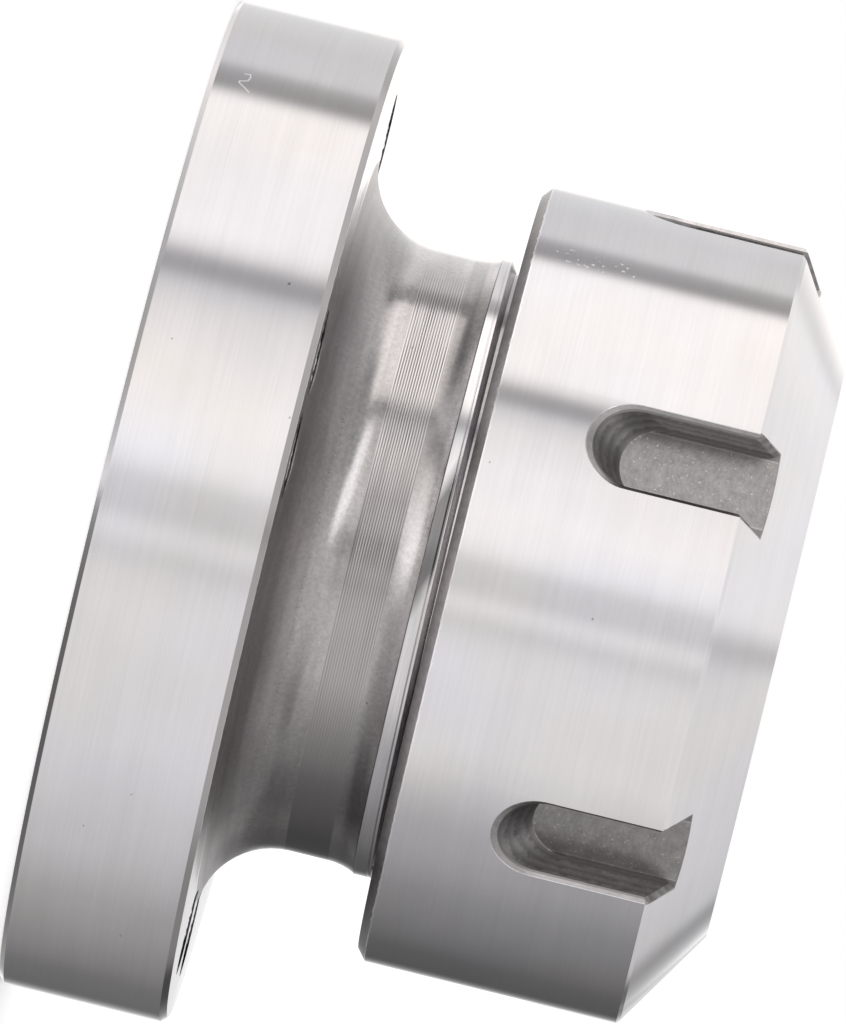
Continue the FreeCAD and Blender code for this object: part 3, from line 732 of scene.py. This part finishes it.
# Upright light and dark panels round the chuck: azimuth from the photograph's camera, and level
PANELS = (
    (-180, 1.15), (-170, 1.15), (-164, 0.86), (-140, 0.85), (-121.5, 0.93), (-117.5, 0.54),
    (-110.5, 0.39), (-106, 1.42), (-64, 1.42), (-60.5, 1.2), (-56.5, 0.45), (-53.5, 0.45),
    (-50, 0.95), (-44, 1.15), (-20, 1.30), (-11, 1.22), (-7, 1.07), (-4, 0.80), (3, 0.76),
    (7.5, 1.08), (12.5, 0.84), (18, 1.02), (24, 1.08), (55, 1.03), (70, 0.93), (88, 0.76),
    (104, 0.53), (122, 0.38), (140, 0.22), (160, 0.16), (168, 0.5), (173, 1.15),
)
# The lit table below them
TABLE = (
    (-180, 0.6), (-150, 1.2), (-120, 0.5), (-100, 0.3), (-84, 0.32), (-70, 0.7), (-58, 1.06),
    (-46, 0.55), (-34, 1.6), (-12, 2.1), (0, 2.1), (10, 1.35), (22, 0.81), (34, 0.7), (44, 0.59),
    (56, 0.49), (70, 0.37), (84, 0.24), (100, 0.18), (120, 0.14), (146, 0.2), (180, 0.6),
)
TOP_LEVEL = 0.98
TOP_BRIGHT = 1.16
# A small slanted strip lamp above the camera's side: degrees, and level
LAMP_AZIMUTH = -24.0
LAMP_WIDTH = 26.0
LAMP_HEIGHT = 27.5
LAMP_THICKNESS = 8.2
LAMP_SLANT = 10.0
LAMP_LEVEL = 1.95


def ring_of_levels(tree, fraction, levels):
    """Levels round the horizon; the brightest panels are slightly warm."""
    node = tree.add("ShaderNodeValToRGB")
    tree.feed(node.inputs[0], fraction)
    stops = node.color_ramp.elements
    while len(stops) < len(levels):
        stops.new(0.5)
    for stop, (degrees, level) in zip(stops, levels):
        warmth = 0.025 if level > 1.12 and degrees < -15 else 0.0
        stop.position = (degrees + 180) / 360
        stop.color = (level * (1 + warmth), level, level * (1 - warmth), 1)
    return node.outputs[0]


def studio_world():
    """White backdrop; what the metal mirrors is a ring of upright panels under a pale ceiling."""
    world = bpy.data.worlds.new("studio")
    bpy.context.scene.world = world
    tree = Tree(world)
    direction = tree.add("ShaderNodeTexCoord").outputs["Generated"]
    x, y, z = tree.split(direction)
    front, side = tree.facing(x, y)
    azimuth = tree.math("ARCTAN2", side, front)
    fraction = tree.ramp(azimuth, -math.pi, math.pi)
    panels = ring_of_levels(tree, fraction, PANELS)
    table = ring_of_levels(tree, fraction, TABLE)
    height = tree.math("ARCSINE", z)
    up = tree.ramp(height, math.radians(23), math.radians(30), smooth=True)
    low_ceiling = tree.ramp(height, math.radians(24), math.radians(58), 0.68, TOP_LEVEL)
    ceiling = tree.blend(tree.ramp(side, -0.03, 0.03), TOP_BRIGHT, low_ceiling)
    seam = tree.math("MULTIPLY", zone(tree, side, -0.01, 0.035, 0.02), -0.38)
    ceiling = tree.math("ADD", ceiling, seam)
    near_side = tree.math("MULTIPLY", tree.ramp(side, -0.35, 0.05, 0.58, 1.0),
                          tree.ramp(side, 0.35, 0.9, 1.0, 0.5))
    ceiling = tree.blend(tree.ramp(front, 0.0, 0.25), ceiling, near_side)
    around = tree.mix(up, panels, tree.join(ceiling, ceiling, ceiling))
    down = tree.ramp(height, math.radians(-7), math.radians(-16), smooth=True)
    around = tree.mix(down, around, table)
    lamp_side = tree.math("DIVIDE", tree.math("SUBTRACT", azimuth, math.radians(LAMP_AZIMUTH)),
                          math.radians(LAMP_WIDTH))
    lamp_rise = tree.math("SUBTRACT", height, tree.math(
        "MULTIPLY", lamp_side, math.radians(LAMP_SLANT)))
    lamp_rise = tree.math("DIVIDE", tree.math("SUBTRACT", lamp_rise, math.radians(LAMP_HEIGHT)),
                          math.radians(LAMP_THICKNESS))
    lamp_far = tree.math("ADD", tree.math("MULTIPLY", lamp_side, lamp_side),
                         tree.math("MULTIPLY", lamp_rise, lamp_rise))
    lamp = tree.ramp(lamp_far, 0.7, 1.1, 1.0, 0.0)
    around = tree.mix(lamp, around, (LAMP_LEVEL, LAMP_LEVEL, LAMP_LEVEL, 1))
    rays = tree.add("ShaderNodeLightPath")
    seen = tree.mix(rays.outputs["Is Camera Ray"], around, (1, 1, 1, 1))
    background = tree.add("ShaderNodeBackground")
    tree.feed(background.inputs["Color"], seen)
    background.inputs["Strength"].default_value = 1.0
    tree.surface(background.outputs[0], "ShaderNodeOutputWorld")


def pale_floor():
    """A white table that keeps the chuck's shadow and fades into the backdrop."""
    half = 6000.0
    corners = [(-half, -half, 0), (half, -half, 0), (half, half, 0), (-half, half, 0)]
    floor = new_object("floor", corners, [(0, 1, 2, 3)])
    floor.location.z = -0.00002
    floor.visible_glossy = False
    material, tree = new_material("pale_floor")
    shader = tree.add("ShaderNodeBsdfDiffuse")
    shader.inputs["Color"].default_value = (0.86, 0.86, 0.86, 1)
    glow = tree.add("ShaderNodeEmission")
    rays = tree.add("ShaderNodeLightPath")
    tree.feed(glow.inputs["Strength"], tree.math("MULTIPLY", rays.outputs["Is Camera Ray"], 0.32))
    summed = tree.add("ShaderNodeAddShader")
    tree.feed(summed.inputs[0], shader.outputs[0])
    tree.feed(summed.inputs[1], glow.outputs[0])
    tree.surface(summed.outputs[0])
    floor.data.materials.append(material)


def grey_scrim():
    """A grey net hung beside the nut, above the flange, that only the metal's reflections meet."""
    columns = 40
    radius = 56
    points = []
    for i in range(columns + 1):
        azimuth = math.radians(FACING + 30 + 145 * i / columns)
        for z in (14.5, 60.0):
            points.append((radius * math.cos(azimuth), radius * math.sin(azimuth), z))
    faces = [(2 * i, 2 * i + 2, 2 * i + 3, 2 * i + 1) for i in range(columns)]
    scrim = new_object("scrim", points, faces)
    scrim.visible_camera = False
    scrim.visible_diffuse = False
    scrim.visible_shadow = False
    material, tree = new_material("grey_scrim")
    place = Place(tree)
    net = tree.ramp(place.turn, 34.0, 58.0, 1.0, 0.66, smooth=True)
    shader = tree.add("ShaderNodeBsdfTransparent")
    tree.feed(shader.inputs["Color"], tree.join(net, net, net))
    tree.surface(shader.outputs[0])
    scrim.data.materials.append(material)


def photo_camera():
    """The photograph's long lens, level with the nut, with the chuck lying on its side in view."""
    data = bpy.data.cameras.new("camera")
    data.lens = 463.45
    data.sensor_width = 36.0
    data.clip_start = 0.05
    data.clip_end = 30.0
    camera = bpy.data.objects.new("camera", data)
    bpy.context.scene.collection.objects.link(camera)
    camera.location = Vector((-853.822, 597.853, 46.780)) * MM
    camera.rotation_euler = Euler([math.radians(a) for a in (-84.6508, -76.1635, 50.0291)])
    bpy.context.scene.camera = camera


def main():
    settings = bpy.context.scene.view_settings
    settings.view_transform = "Standard"
    finishes = {"chuck_body": chuck_finish(), "collet": collet_finish(),
                "clamping_nut": nut_finish()}
    for node, material in finishes.items():
        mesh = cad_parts[node].data
        mesh.materials.clear()
        mesh.materials.append(material)
    nose_thread(thread_finish("nose_thread_finish", 0.72, 0.8, 0.16))
    nut_thread(thread_finish("nut_thread_finish", 0.45, 0.58, 0.25))
    hole_threads(thread_finish("hole_thread_finish", 0.4, 0.5, 0.3))
    pale_floor()
    grey_scrim()
    studio_world()
    photo_camera()


main()
